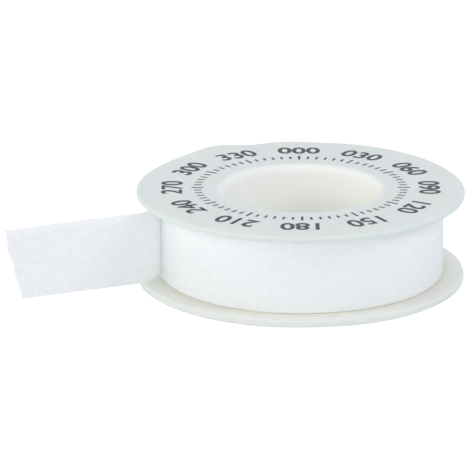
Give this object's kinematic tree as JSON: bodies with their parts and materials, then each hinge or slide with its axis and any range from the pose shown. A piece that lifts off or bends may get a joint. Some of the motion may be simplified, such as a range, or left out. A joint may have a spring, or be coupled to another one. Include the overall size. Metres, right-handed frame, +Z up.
{
  "type": "thread seal tape roll",
  "caption": "Flat two-flange plastic spool wound with white thread seal tape, its free end peeled off and standing out to one side.",
  "frame": {"origin": "centre of the spool's underside, on the bore's axis", "axes": "+Z up along the bore, the peeled end of the tape points towards -X and a little towards -Y, the viewer stands at -Y"},
  "size_m": [0.075, 0.054, 0.0153],
  "materials": {
    "spool_plastic": "satin, slightly translucent moulded polypropylene",
    "ptfe_tape": "soft matt unsintered PTFE film",
    "print_ink": "thin dull black pad-printed ink"
  },
  "bodies": {
    "roll": {"spool_base": "spool_plastic", "spool_cap": "spool_plastic", "tape_wraps": "ptfe_tape", "tape_outer_turn": "ptfe_tape"},
    "tail": {"tape_tail": "ptfe_tape"}
  },
  "joints": [
    {"name": "tail_peel", "type": "hinge", "parent": "roll", "child": "tail", "pos_m": [-0.0232, -0.00536, 0.0075], "axis": [0, 0, 1], "range_deg": [-110, 30]}
  ]
}
